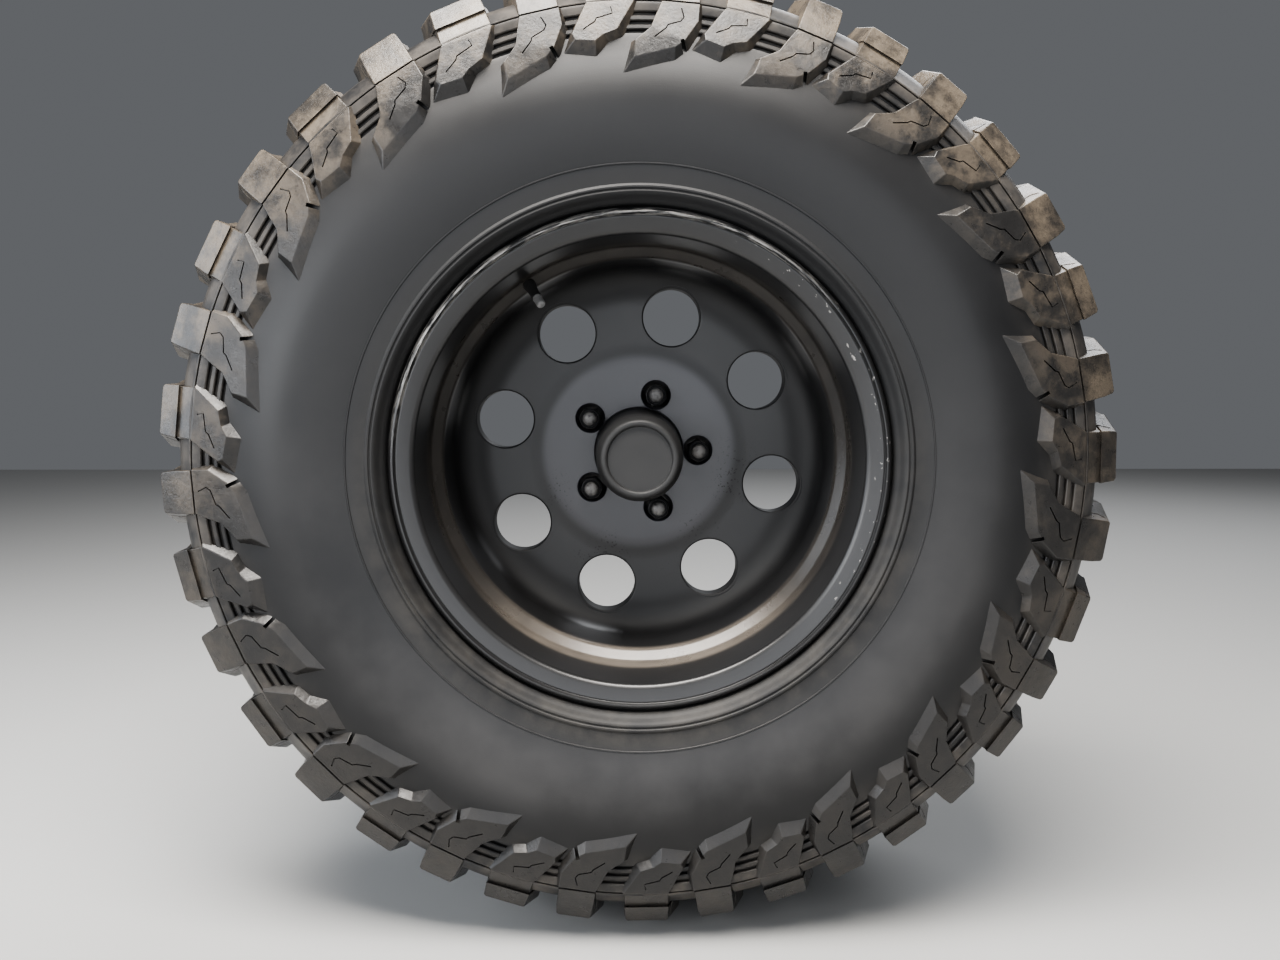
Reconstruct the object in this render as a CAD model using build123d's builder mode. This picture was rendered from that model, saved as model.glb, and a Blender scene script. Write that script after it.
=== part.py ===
"""Off-road wheel: a 33 x 12.5 R15 mud tyre on a 15 x 10 inch cast wheel, in millimetres.

The origin is the centre of the hub mounting face. +Y points inboard, towards the vehicle, and +Z is up.
The profile that is revolved is drawn as (distance from the axle, place along the axle).
"""
import os
from math import atan2, cos, degrees, radians, sin, tan

from build123d import *

# Rim of the cast wheel, from the 15 x 10 inch size
bead_seat_radius = 190.1
rim_width = 254.0
lip_width = 12.7
lip_bevel = 4.5
lip_slope_depth = 7.0
flange_height = 17.3
backspacing = 95.25
barrel_wall = 4.1
well_drop = 10.0
outer_well_depth = 77.0
inner_well_depth = 60.0
ledge_run = 12.0

# Disc of the cast wheel with its hub pad, vents and lug wells
pad_radius = 90.0
pad_thickness = 26.0
pad_shoulder = 5.0
disc_thickness = 21.5
disc_edge_fillet = 19.0
disc_edge_steps = 3
rear_relief = 1.5
rear_pad_radius = 78.0
bore_radius = 41.5
bore_depth = 14.0
cap_pocket_radius = 42.6
vent_count = 8
vent_circle_radius = 133.2
vent_radius = 27.5
vent_first_angle = 31.3

# Lug nuts on the 5 x 114.3 mm circle
lug_count = 5
lug_circle_radius = 57.15
lug_first_angle = 1.3
stud_hole_radius = 8.0
stud_hole_depth = 9.0
seat_half_angle = 30.0
lug_well_radius = 13.7
nut_small_radius = 8.3
nut_collar_radius = 11.2
nut_across_flats = 19.05
nut_length = 35.0
nut_dome_length = 9.0
nut_tip_radius = 6.0
nut_sides = 12
seat_gap = 0.15

# Centre cap
cap_sides = 36
cap_wall = 2.2
cap_gap = 0.3
cap_projection = 102.0
cap_collar_length = 4.0
cap_taper = 4.5
cap_ring_outer_radius = 34.8
cap_ring_inner_radius = 28.2
cap_ring_height = 4.0
cap_ring_round = 2.0
cap_shoulder_length = 8.0

# Valve, a rubber snap-in stem in the ledge
valve_sides = 16
valve_angle = 122.5
valve_hole_radius = 5.75
valve_bulb_radius = 6.7
valve_bulb_length = 5.0
valve_collar_radius = 5.9
valve_collar_length = 3.0
valve_neck_radius = 4.2
valve_length = 30.0
valve_cap_radius = 4.4
valve_cap_length = 11.0
valve_cap_round = 1.2
valve_gap = 0.2
valve_seat_gap = 0.6

# Tyre; a drop is measured inwards from the tyre's radius, an inset from its widest point
tyre_radius = 412.0
section_half_width = 157.2
widest_drop = 125.0
tread_half_width = 86.0
tread_depth = 18.5
crown_half_width = 92.0
crown_drop = 7.0
shoulder_inset = 27.2
shoulder_drop = 18.0
parting_inset = 10.7
parting_drop = 48.5
side_drop = 82.0
side_inset = 6.2
groove_depth = 18.0
groove_wall_run = 4.0
flange_fit_gap = 0.8
guard_overhang = 7.8
guard_height = 11.6
casing_wall = 9.0
under_tread = 9.0
bead_width = 20.0
rim_fit_gap = 0.2
facets_per_pitch = 2

# Shoulder lugs, 19 pitches of one long lug and one short lug on each side
pitch_order = "SMLLLSSSMMMLLLLLLMS"
pitch_share = {"S": 1.0, "M": 1.056, "L": 1.197}
first_pitch_angle = 14.85
long_lug_place = 0.425
short_lug_place = 0.915
centre_groove_width = 10.0
centre_drop = 0.8
lug_embed = 4.0
lug_stand_out = 0.8
lug_tip_drop = 112.0

# Outlines of the side of a lug: drop from the tyre's radius, arc distance clockwise of the lug's middle
long_lug_outline = [
    (-2.0, -21.0), (69.0, -21.5), (81.0, -40.5), (108.0, -47.5), (97.5, -1.4), (66.0, 19.5), (-2.0, 21.0),
]
short_lug_outline = [
    (-2.0, -23.5), (54.0, -21.0), (86.0, -43.8), (95.0, -14.2), (75.0, 6.6), (-2.0, 23.5),
]

outer_lip_y = backspacing - rim_width - 2 * lip_width
inner_lip_y = backspacing
rim_centre_y = (outer_lip_y + inner_lip_y) / 2
flange_radius = bead_seat_radius + flange_height
barrel_radius = bead_seat_radius - barrel_wall
well_radius = barrel_radius - well_drop
pad_front_y = -pad_thickness
disc_front_y = -disc_thickness

os.makedirs("parts", exist_ok=True)


def save(part, label):
    part.label = label
    export_step(part, f"parts/{label}.step")


def flat_cone(wide, narrow, length, sides):
    """A cone with flat sides that stands on XY and narrows upwards."""
    flat_run = (wide - narrow) * cos(radians(180.0 / sides))
    with BuildPart() as form:
        with BuildSketch(Plane.XY):
            RegularPolygon(wide, sides)
        extrude(amount=length, taper=degrees(atan2(flat_run, length)))
    return form.part


def turn(rows, sides):
    """A turned form with flat sides, upright on XY, from rows of (radius, height)."""
    with BuildPart() as form:
        for (radius, height), (next_radius, next_height) in zip(rows, rows[1:]):
            length = next_height - height
            if length > 0 and next_radius > radius:
                with Locations((0.0, 0.0, next_height)):
                    add(flat_cone(next_radius, radius, length, sides), rotation=(180.0, 0.0, 0.0))
            elif length > 0:
                with Locations((0.0, 0.0, height)):
                    add(flat_cone(radius, next_radius, length, sides))
    return form.part


# Cast wheel: the outside of the rim, then the inside of the barrel and both faces of the disc
front_ledge_y = outer_lip_y + outer_well_depth
rear_ledge_y = inner_lip_y - inner_well_depth
well_outer_radius = well_radius + barrel_wall
ledge_shift = barrel_wall * tan(atan2(well_drop, ledge_run) / 2)
edge_turns = [90.0 * step / disc_edge_steps for step in range(disc_edge_steps + 1)]
disc_edge = [
    (
        well_radius - disc_edge_fillet * (1 - sin(radians(turned))),
        disc_front_y - disc_edge_fillet * (1 - cos(radians(turned))),
    )
    for turned in edge_turns
]
wheel_outline = [
    (bead_seat_radius, outer_lip_y + lip_width),
    (flange_radius, outer_lip_y + lip_width),
    (flange_radius, outer_lip_y + lip_width / 2),
    (flange_radius - lip_bevel, outer_lip_y),
    (barrel_radius, outer_lip_y + lip_slope_depth),
    (barrel_radius, front_ledge_y),
    (well_radius, front_ledge_y + ledge_run),
    *disc_edge[::-1],
    (pad_radius + pad_shoulder, disc_front_y),
    (pad_radius, pad_front_y),
    (cap_pocket_radius, pad_front_y),
    (cap_pocket_radius, -bore_depth),
    (bore_radius, -bore_depth),
    (bore_radius, 0.0),
    (rear_pad_radius, 0.0),
    (rear_pad_radius + rear_relief, -rear_relief),
    (well_radius, -rear_relief),
    (well_radius, rear_ledge_y - ledge_run),
    (barrel_radius, rear_ledge_y),
    (barrel_radius, inner_lip_y),
    (flange_radius, inner_lip_y),
    (flange_radius, inner_lip_y - lip_width),
    (bead_seat_radius, inner_lip_y - lip_width),
    (bead_seat_radius, rear_ledge_y - ledge_shift),
    (well_outer_radius, rear_ledge_y - ledge_run - ledge_shift),
    (well_outer_radius, front_ledge_y + ledge_run + ledge_shift),
    (bead_seat_radius, front_ledge_y + ledge_shift),
]

# Seat of one lug nut, cut from behind the hub face to in front of the pad
seat_slope = tan(radians(seat_half_angle))
seat_top = stud_hole_depth + (lug_well_radius - stud_hole_radius) / seat_slope
cut_past = 1.0
with BuildPart() as lug_well:
    with BuildSketch(Plane.XZ):
        with BuildLine():
            Polyline(
                (0.0, -cut_past),
                (stud_hole_radius, -cut_past),
                (stud_hole_radius, stud_hole_depth),
                (lug_well_radius, seat_top),
                (lug_well_radius, pad_thickness + cut_past),
                (0.0, pad_thickness + cut_past),
                close=True,
            )
        make_face()
    revolve(axis=Axis.Z)
lug_places = [
    Plane.XZ * place for place in PolarLocations(lug_circle_radius, lug_count, lug_first_angle)
]

# The valve stands square on the front ledge
ledge_length = (well_drop**2 + ledge_run**2) ** 0.5
valve_cos = cos(radians(valve_angle))
valve_sin = sin(radians(valve_angle))
valve_foot_radius = barrel_radius - well_drop / 2
valve_plane = Plane(
    origin=(valve_foot_radius * valve_cos, front_ledge_y + ledge_run / 2, valve_foot_radius * valve_sin),
    z_dir=(
        -ledge_run / ledge_length * valve_cos,
        -well_drop / ledge_length,
        -ledge_run / ledge_length * valve_sin,
    ),
)
with BuildPart() as cast_wheel:
    with BuildSketch(Plane.XY):
        with BuildLine():
            Polyline(*wheel_outline, close=True)
        make_face()
    revolve(axis=Axis.Y)
    with BuildSketch(Plane.XZ.offset(disc_thickness)):
        with PolarLocations(vent_circle_radius, vent_count, vent_first_angle):
            Circle(vent_radius)
    extrude(amount=disc_thickness, both=True, mode=Mode.SUBTRACT)
    with Locations(*lug_places):
        add(lug_well.part, mode=Mode.SUBTRACT)
    with BuildSketch(valve_plane):
        Circle(valve_hole_radius)
    extrude(amount=3 * barrel_wall, both=True, mode=Mode.SUBTRACT)
save(cast_wheel.part, "cast_wheel")

# Lug nut, upright on its seat: cone, six flats and a domed closed end
nut_base = stud_hole_depth + (nut_small_radius - stud_hole_radius) / seat_slope + 2 * seat_gap
nut_cone_end = nut_base + (nut_collar_radius - nut_small_radius) / seat_slope
nut_tip = nut_base + nut_length
nut_dome_start = nut_tip - nut_dome_length
with BuildPart() as lug_nut:
    add(turn([(nut_small_radius, nut_base), (nut_collar_radius, nut_cone_end)], nut_sides))
    with BuildSketch(Plane.XY.offset(nut_cone_end)):
        RegularPolygon(nut_across_flats / 2, 6, major_radius=False)
    extrude(amount=nut_dome_start - nut_cone_end)
    add(turn([(nut_across_flats / 2, nut_dome_start), (nut_tip_radius, nut_tip)], nut_sides))
for number, place in enumerate(lug_places, start=1):
    save(lug_nut.part.moved(place), f"lug_nut_{number}")

# Centre cap, one open moulding with a ring round its sunk face
cap_base_radius = cap_pocket_radius - cap_gap
cap_base = bore_depth + cap_gap
cap_front = pad_thickness + cap_projection
cap_face = cap_front - cap_ring_height
cap_shoulder = cap_front - cap_ring_round - cap_shoulder_length
cap_shoulder_radius = cap_base_radius - cap_taper
cap_outside = [  # radius, height in front of the hub face
    (cap_base_radius, cap_base),
    (cap_base_radius, pad_thickness + cap_collar_length),
    (cap_shoulder_radius, cap_shoulder),
    (cap_ring_outer_radius, cap_front - cap_ring_round),
    (cap_ring_outer_radius - cap_ring_round, cap_front),
]
cap_inside = [
    (cap_base_radius - cap_wall, cap_base),
    (cap_base_radius - cap_wall, pad_thickness + cap_collar_length),
    (cap_shoulder_radius - cap_wall, cap_shoulder - cap_wall),
    (cap_ring_inner_radius, cap_face - cap_wall),
]
cap_recess = [
    (cap_ring_inner_radius, cap_face),
    (cap_ring_inner_radius, cap_front - cap_ring_round / 2),
    (cap_ring_inner_radius + cap_ring_round / 2, cap_front),
]
with BuildPart() as centre_cap:
    with Locations(Plane.XZ):
        add(turn(cap_outside, cap_sides))
        add(turn(cap_inside, cap_sides), mode=Mode.SUBTRACT)
        add(turn(cap_recess, cap_sides), mode=Mode.SUBTRACT)
save(centre_cap.part, "centre_cap")

# Valve stem, snapped into the ledge from behind, and its cap
bulb_top = -barrel_wall - valve_gap
valve_cap_foot = valve_length - valve_cap_length
collar_top = valve_seat_gap + valve_collar_length
stem_rows = [  # radius, height above the ledge
    (valve_collar_radius, bulb_top - valve_bulb_length),
    (valve_bulb_radius, bulb_top - valve_gap),
    (valve_hole_radius - valve_gap, bulb_top),
    (valve_hole_radius - valve_gap, valve_seat_gap),
    (valve_collar_radius, valve_seat_gap),
    (valve_collar_radius, collar_top),
    (valve_neck_radius, valve_cap_foot),
]
cap_rows = [
    (valve_cap_radius, valve_cap_foot),
    (valve_cap_radius, valve_length - valve_cap_round),
    (valve_cap_radius - valve_cap_round, valve_length),
]
valve_stem = turn(stem_rows, valve_sides)
valve_cap = turn(cap_rows, valve_sides)
save(valve_stem.moved(valve_plane.location), "valve_stem")
save(valve_cap.moved(valve_plane.location), "valve_cap")

# Tyre casing, half of its section from the crown down to the bead and back up inside
guard_radius = flange_radius + guard_height
flange_half_width = rim_width / 2 + lip_width
guard_half_width = flange_half_width + guard_overhang
heel_half_width = rim_width / 2 - rim_fit_gap
bead_radius = bead_seat_radius + rim_fit_gap
flange_fit_radius = flange_radius + flange_fit_gap
shoulder_half_width = section_half_width - shoulder_inset
crown_edge_radius = tyre_radius - crown_drop
shoulder_radius = tyre_radius - shoulder_drop
parting_half_width = section_half_width - parting_inset
parting_radius = tyre_radius - parting_drop
side_radius = tyre_radius - side_drop
widest_radius = tyre_radius - widest_drop
half_section = [  # distance from the tyre's centre plane, radius
    (tread_half_width, tyre_radius - tread_depth),
    (shoulder_half_width + groove_wall_run, shoulder_radius - groove_depth),
    (section_half_width - side_inset, side_radius - groove_wall_run),
    (section_half_width, widest_radius),
    (guard_half_width, guard_radius),
    (flange_half_width + flange_fit_gap, flange_fit_radius),
    (heel_half_width, flange_fit_radius),
    (heel_half_width, bead_radius),
    (heel_half_width - bead_width, bead_radius),
    (section_half_width - casing_wall, widest_radius),
    (shoulder_half_width - casing_wall, shoulder_radius - groove_depth - under_tread),
]
outer_half = [(rim_centre_y - across, radius) for across, radius in half_section]
inner_half = [(rim_centre_y + across, radius) for across, radius in half_section]

# The casing runs round in flat facets, the first of them centred on the top of the wheel
facet_count = facets_per_pitch * len(pitch_order)
facet_angle = radians(360.0 / facet_count)
corner_radius = widest_radius / cos(facet_angle / 2)
with BuildPart() as casing:
    with BuildLine() as round_path:
        Polyline(
            (0.0, 0.0, widest_radius),
            *[
                (corner_radius * sin(turned), 0.0, corner_radius * cos(turned))
                for turned in [facet_angle * (facet + 0.5) for facet in range(facet_count)]
            ],
            close=True,
        )
    with BuildSketch(Plane.YZ):
        with BuildLine():
            Polyline(*outer_half, *inner_half[::-1], close=True)
        make_face()
    sweep(path=round_path.wire(), transition=Transition.RIGHT)

# A lug is its outline seen from the side, cut to a section from the middle of the tread to the sidewall
lug_section = [  # distance from the tyre's centre plane, radius
    (centre_groove_width / 2, tyre_radius - tread_depth - lug_embed),
    (centre_groove_width / 2, tyre_radius - centre_drop),
    (crown_half_width, crown_edge_radius),
    (shoulder_half_width, shoulder_radius),
    (parting_half_width, parting_radius),
    (section_half_width + lug_stand_out, side_radius),
    (section_half_width - lug_embed, tyre_radius - lug_tip_drop),
    (section_half_width - lug_embed - casing_wall / 2, tyre_radius - lug_tip_drop),
    (section_half_width - side_inset - casing_wall, side_radius),
    (shoulder_half_width - lug_embed, shoulder_radius - groove_depth - lug_embed),
]


def make_lug(outline, stretch):
    with BuildPart() as lug:
        with BuildSketch(Plane.YZ):
            with BuildLine():
                Polyline(*[(rim_centre_y - across, radius) for across, radius in lug_section], close=True)
            make_face()
        extrude(amount=section_half_width / 2, both=True)
        with BuildSketch(Plane.XZ.offset(-rim_centre_y)):
            with BuildLine():
                Polyline(
                    *[
                        ((tyre_radius - drop) * sin(turned), (tyre_radius - drop) * cos(turned))
                        for drop, turned in [
                            (drop, arc * stretch / (tyre_radius - drop)) for drop, arc in outline
                        ]
                    ],
                    close=True,
                )
            make_face()
        extrude(amount=2 * section_half_width, mode=Mode.INTERSECT)
    return lug.part


share_total = sum(pitch_share[letter] for letter in pitch_order)
lug_shapes = {}
for letter, share in pitch_share.items():
    stretch = share * len(pitch_order) / share_total
    lug_shapes[letter] = (
        (make_lug(long_lug_outline, stretch), long_lug_place),
        (make_lug(short_lug_outline, stretch), short_lug_place),
    )
near_lugs = []
angle = first_pitch_angle
for letter in pitch_order:
    pitch = 360.0 * pitch_share[letter] / share_total
    for lug, place in lug_shapes[letter]:
        near_lugs.append(lug.rotate(Axis.Y, angle + place * pitch))
    angle += pitch

# The inboard side is the outboard side turned over about an upright line
turn_over = Axis((0.0, rim_centre_y, 0.0), (0.0, 0.0, 1.0))
far_lugs = [lug.rotate(turn_over, 180.0) for lug in near_lugs]
with BuildPart() as tyre:
    add(casing.part)
    add(near_lugs + far_lugs)
save(tyre.part, "tyre")
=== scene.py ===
from math import atan2, cos, degrees, pi, radians, sin

import bmesh
import bpy
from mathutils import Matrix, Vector


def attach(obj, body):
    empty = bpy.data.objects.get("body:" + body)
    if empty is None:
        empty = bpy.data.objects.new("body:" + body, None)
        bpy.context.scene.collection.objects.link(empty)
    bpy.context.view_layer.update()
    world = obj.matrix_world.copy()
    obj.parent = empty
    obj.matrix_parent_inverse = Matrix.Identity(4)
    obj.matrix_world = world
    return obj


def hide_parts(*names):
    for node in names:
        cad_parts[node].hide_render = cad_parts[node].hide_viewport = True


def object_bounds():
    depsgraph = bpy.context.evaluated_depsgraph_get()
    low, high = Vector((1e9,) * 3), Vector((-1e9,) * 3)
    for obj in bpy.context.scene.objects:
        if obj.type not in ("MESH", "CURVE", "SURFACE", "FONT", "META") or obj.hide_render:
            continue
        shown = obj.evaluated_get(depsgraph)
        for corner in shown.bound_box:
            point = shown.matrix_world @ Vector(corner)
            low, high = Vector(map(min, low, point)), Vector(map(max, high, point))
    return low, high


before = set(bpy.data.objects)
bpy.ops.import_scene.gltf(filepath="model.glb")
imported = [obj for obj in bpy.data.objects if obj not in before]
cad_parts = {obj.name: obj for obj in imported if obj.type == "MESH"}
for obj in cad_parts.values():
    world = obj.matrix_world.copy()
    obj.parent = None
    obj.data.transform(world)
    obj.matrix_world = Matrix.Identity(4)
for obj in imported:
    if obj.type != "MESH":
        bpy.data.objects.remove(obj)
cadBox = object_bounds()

mm = 0.001
rimCentre = -44.45  # the wheel's middle along the axle
smallestMove = 1e-7  # metres; a vertex that is nearer to its target stays
sameSpot = 1e-6  # metres; vertices that are this near are merged


# hand tools
def clearSelection():
    if bpy.context.object and bpy.context.object.mode == "EDIT":
        bpy.ops.object.mode_set(mode="OBJECT")
    bpy.ops.object.select_all(action="DESELECT")


def makeActive(piece):
    clearSelection()
    piece.select_set(True)
    bpy.context.view_layer.objects.active = piece


def editMode(piece, kind="VERT"):
    makeActive(piece)
    bpy.ops.object.mode_set(mode="EDIT")
    bpy.ops.mesh.select_mode(type=kind)


def objectMode():
    bpy.ops.object.mode_set(mode="OBJECT")


def applyPlace():
    bpy.ops.object.transform_apply(location=True, rotation=True, scale=True)


def drawLine(name, points, closed=False, fill=False):
    # one vertex, pulled out from point to point; points are in mm
    points = [Vector(point) * mm for point in points]
    clearSelection()
    bpy.ops.mesh.primitive_plane_add(size=mm, location=points[0])
    line = bpy.context.object
    line.name = name
    bpy.ops.object.mode_set(mode="EDIT")
    bpy.ops.mesh.select_mode(type="VERT")
    bpy.ops.mesh.select_all(action="SELECT")
    bpy.ops.mesh.merge(type="CENTER")
    for here, there in zip(points, points[1:]):
        bpy.ops.mesh.extrude_region_move(TRANSFORM_OT_translate={"value": there - here})
    if fill:
        bpy.ops.mesh.select_all(action="SELECT")
        bpy.ops.mesh.edge_face_add()
    elif closed:
        bpy.ops.mesh.select_all(action="DESELECT")
        work = bmesh.from_edit_mesh(line.data)
        work.verts.ensure_lookup_table()
        work.verts[0].select = True
        work.verts[len(points) - 1].select = True
        work.select_flush_mode()
        bpy.ops.mesh.edge_face_add()
    objectMode()
    applyPlace()
    return line


def tidyMesh(piece):
    editMode(piece)
    bpy.ops.mesh.select_all(action="SELECT")
    bpy.ops.mesh.remove_doubles(threshold=sameSpot)
    bpy.ops.mesh.normals_make_consistent(inside=False)
    objectMode()


def spinPoints(name, points, steps, centre=(0, 0, 0), axis=(0, 1, 0), closed=False):
    # a line of points, spun once round; centre is in metres
    line = drawLine(name, points, closed=closed)
    editMode(line)
    bpy.ops.mesh.select_all(action="SELECT")
    bpy.ops.mesh.spin(steps=steps, angle=2 * pi, center=centre, axis=axis)
    objectMode()
    tidyMesh(line)
    return line


def spinOnAxle(name, rows, steps):
    # rows are (radius, place along the axle), drawn above the axle and spun round it
    return spinPoints(name, [(0, along, radius) for radius, along in rows], steps, closed=True)


def spinBeside(name, rows, steps, circle, angle):
    # the same round a line beside the axle, at an angle on a circle about it
    x = circle * cos(radians(angle))
    z = circle * sin(radians(angle))
    points = [(x, along, z + radius) for radius, along in rows]
    return spinPoints(name, points, steps, centre=(x * mm, 0, z * mm))


def placePoints(piece, targets):
    # moves vertex after vertex to its target
    editMode(piece)
    bpy.ops.mesh.select_all(action="DESELECT")
    for index, target in targets.items():
        work = bmesh.from_edit_mesh(piece.data)
        work.verts.ensure_lookup_table()
        vertex = work.verts[index]
        move = Vector(target) * mm - vertex.co
        if move.length < smallestMove:
            continue
        vertex.select = True
        work.select_flush_mode()
        bpy.ops.transform.translate(value=move)
        bpy.ops.mesh.select_all(action="DESELECT")
    objectMode()


def finishWith(piece, kind, **settings):
    makeActive(piece)
    modifier = piece.modifiers.new(kind.title(), kind)
    for key, value in settings.items():
        setattr(modifier, key, value)
    bpy.ops.object.modifier_apply(modifier=modifier.name)


def cutAway(piece, cutter, how="DIFFERENCE"):
    finishWith(piece, "BOOLEAN", object=cutter, operation=how, solver="EXACT")
    bpy.data.objects.remove(cutter)


def softEdges(piece, width, angle):
    finishWith(
        piece, "BEVEL", width=width * mm, segments=2, limit_method="ANGLE",
        angle_limit=radians(angle), use_clamp_overlap=True, harden_normals=False,
    )


def smooth(piece, angle):
    makeActive(piece)
    bpy.ops.object.shade_smooth_by_angle(angle=radians(angle))
    finishWith(piece, "WEIGHTED_NORMAL", keep_sharp=True, weight=50)


def copyOf(piece, name, turn=0.0, flipSide=False):
    # a copy with its own mesh, turned about the axle, or turned over to the inboard side
    twin = piece.copy()
    twin.data = piece.data.copy()
    twin.name = name
    bpy.context.scene.collection.objects.link(twin)
    makeActive(twin)
    if flipSide:
        twin.rotation_euler = (0, 0, pi)
        twin.location = (0, 2 * rimCentre * mm, 0)
    else:
        twin.rotation_euler = (0, radians(turn), 0)
    applyPlace()
    return twin


def joinPieces(pieces, name):
    clearSelection()
    for piece in pieces:
        piece.select_set(True)
    bpy.context.view_layer.objects.active = pieces[0]
    bpy.ops.object.join()
    joined = bpy.context.object
    joined.name = name
    return joined


def inSegments(table, value):
    # straight-line value from a table of (key, value) rows with falling keys
    if value >= table[0][0]:
        return table[0][1]
    for (key, here), (nextKey, there) in zip(table, table[1:]):
        if value >= nextKey:
            return here + (there - here) * (key - value) / (key - nextKey)
    return table[-1][1]


def ringAngles(ring):
    return [ring["first"] + 360.0 * index / ring["count"] for index in range(ring["count"])]


# the wheel: one casting, spun from its outline, then cut
wheel = {
    "steps": 192,
    "outline": [  # radius, place along the axle
        (190.3, -171.4), (200.6, -171.4), (204.6, -172.6), (206.9, -175.0), (207.3, -178.0),
        (206.7, -181.0), (205.2, -183.1), (203.4, -184.0), (202.3, -183.8), (201.7, -182.9),
        (201.5, -181.6), (200.9, -181.0), (200.2, -181.3), (199.2, -181.4), (190.4, -178.4),
        (188.0, -177.3), (186.6, -175.6), (186.2, -173.2), (186.1, -112.0), (185.9, -108.4),
        (185.5, -106.2), (184.6, -104.6), (178.0, -98.6), (176.9, -96.8), (176.3, -94.6),
        (176.1, -92.0), (176.1, -47.0), (175.3, -40.0), (173.5, -34.2), (170.8, -29.6),
        (167.4, -26.1), (163.4, -23.7), (159.0, -22.3), (154.5, -21.7), (150.0, -21.5),
        (107.0, -21.5), (103.0, -21.65), (98.0, -22.1), (91.0, -22.9), (87.0, -23.25),
        (83.0, -23.4), (44.0, -23.4), (43.0, -23.0), (42.6, -22.0), (42.6, -14.0), (41.5, -14.0),
        (41.5, -1.0), (42.5, 0.0), (78.0, 0.0), (79.5, -1.5), (164.0, -1.5), (170.5, -0.4),
        (174.6, 2.6), (176.0, 7.0), (176.0, 22.4), (177.0, 25.0), (185.0, 34.0), (186.0, 36.6),
        (186.0, 92.6), (187.2, 94.6), (189.4, 95.2), (201.4, 95.2), (204.6, 94.0), (206.9, 90.6),
        (207.2, 87.6), (205.6, 84.2), (201.4, 82.6), (190.3, 82.6), (190.3, 35.6), (189.2, 33.0),
        (182.0, 24.2), (180.3, 20.4), (180.3, -92.6), (181.4, -96.0), (189.2, -105.4),
        (190.3, -108.4),
    ],
}
ventHoles = {
    "count": 8, "circle": 133.2, "first": 31.3, "radius": 27.5, "round": 1.8, "steps": 64,
    "front": -21.5, "back": 2.0,
}
nutWells = {
    "count": 5, "circle": 57.15, "first": 1.3, "radius": 13.7, "round": 1.2, "steps": 40,
    "front": -23.4,
    "seat": [(13.7, -18.9), (8.0, -9.0), (8.0, 1.0), (0, 1.0)],  # radius, place along the axle
}


# a hole's cutter starts ahead of the face, wider than the mouth, and its brim ends just off it
mouthCut = {"ahead": 3.0, "brim": 0.6, "off": 0.001, "steps": 4}


def mouthRows(hole):
    # from ahead of the face to the wall, with the mouth's edge rounded
    radius, corner, front = hole["radius"], hole["round"], hole["front"]
    ahead = front - mouthCut["ahead"]
    brim = radius + corner + mouthCut["brim"]
    rows = [(0, ahead), (brim, ahead), (brim, front - mouthCut["off"])]
    for step in range(mouthCut["steps"] + 1):
        turned = radians(90.0 * step / mouthCut["steps"])
        rows.append((radius + corner * (1 - sin(turned)), front + corner * (1 - cos(turned))))
    return rows


wheelPiece = spinOnAxle("castWheel", wheel["outline"], wheel["steps"])
ventRows = mouthRows(ventHoles) + [(ventHoles["radius"], ventHoles["back"]), (0, ventHoles["back"])]
wellRows = mouthRows(nutWells) + nutWells["seat"]
cutters = []
for hole, rows in ((ventHoles, ventRows), (nutWells, wellRows)):
    for angle in ringAngles(hole):
        cutters.append(spinBeside("holeCutter", rows, hole["steps"], hole["circle"], angle))
cutAway(wheelPiece, joinPieces(cutters, "holeCutters"))

# the valve, which stands square on the ledge
valve = {
    "angle": 122.5, "foot": 181.0, "depth": -101.15,
    "slope": (12.0, 10.0),  # the ledge's run along the axle and its drop
    "hole": [(0, -14), (5.75, -14), (5.75, 12), (0, 12)],  # radius, height above the ledge
    "stem": [
        (0, -9.2), (4.6, -9.2), (5.6, -8.4), (6.5, -5.0), (6.4, -4.5), (5.5, -4.3), (5.5, 0.5),
        (5.9, 0.7), (5.9, 2.8), (5.4, 3.7), (4.6, 8.0), (4.25, 14.0), (4.1, 18.8), (0, 18.8),
    ],
    "stemSides": 32,
    "cap": [
        (0, 19.0), (4.1, 19.0), (4.3, 19.4), (4.3, 20.6), (4.0, 21.0), (4.0, 28.0), (3.6, 29.1),
        (2.9, 29.7), (1.6, 29.9), (0, 29.9),
    ],
    "capSides": 36,
    "grip": {"from": 21, "to": 28, "inset": 0.1, "depth": 0.35, "lean": 0.05},
}
ledgeRun, ledgeDrop = valve["slope"]
valveCos = cos(radians(valve["angle"]))
valveSin = sin(radians(valve["angle"]))
valveUp = Vector((-ledgeRun * valveCos, -ledgeDrop, -ledgeRun * valveSin)).normalized()
valveFoot = Vector((valve["foot"] * valveCos, valve["depth"], valve["foot"] * valveSin)) * mm


def spinOnValve(name, rows, steps):
    # rows are (radius, height above the ledge)
    points = [(radius, 0, height) for radius, height in rows]
    line = spinPoints(name, points, steps, axis=(0, 0, 1))
    line.rotation_mode = "QUATERNION"
    line.rotation_quaternion = valveUp.to_track_quat("Z", "Y")
    line.location = valveFoot
    makeActive(line)
    applyPlace()
    return line


cutAway(wheelPiece, spinOnValve("valveCutter", valve["hole"], valve["stemSides"]))
tidyMesh(wheelPiece)
smooth(wheelPiece, angle=40)
print("wheel cast", len(wheelPiece.data.polygons))

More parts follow.
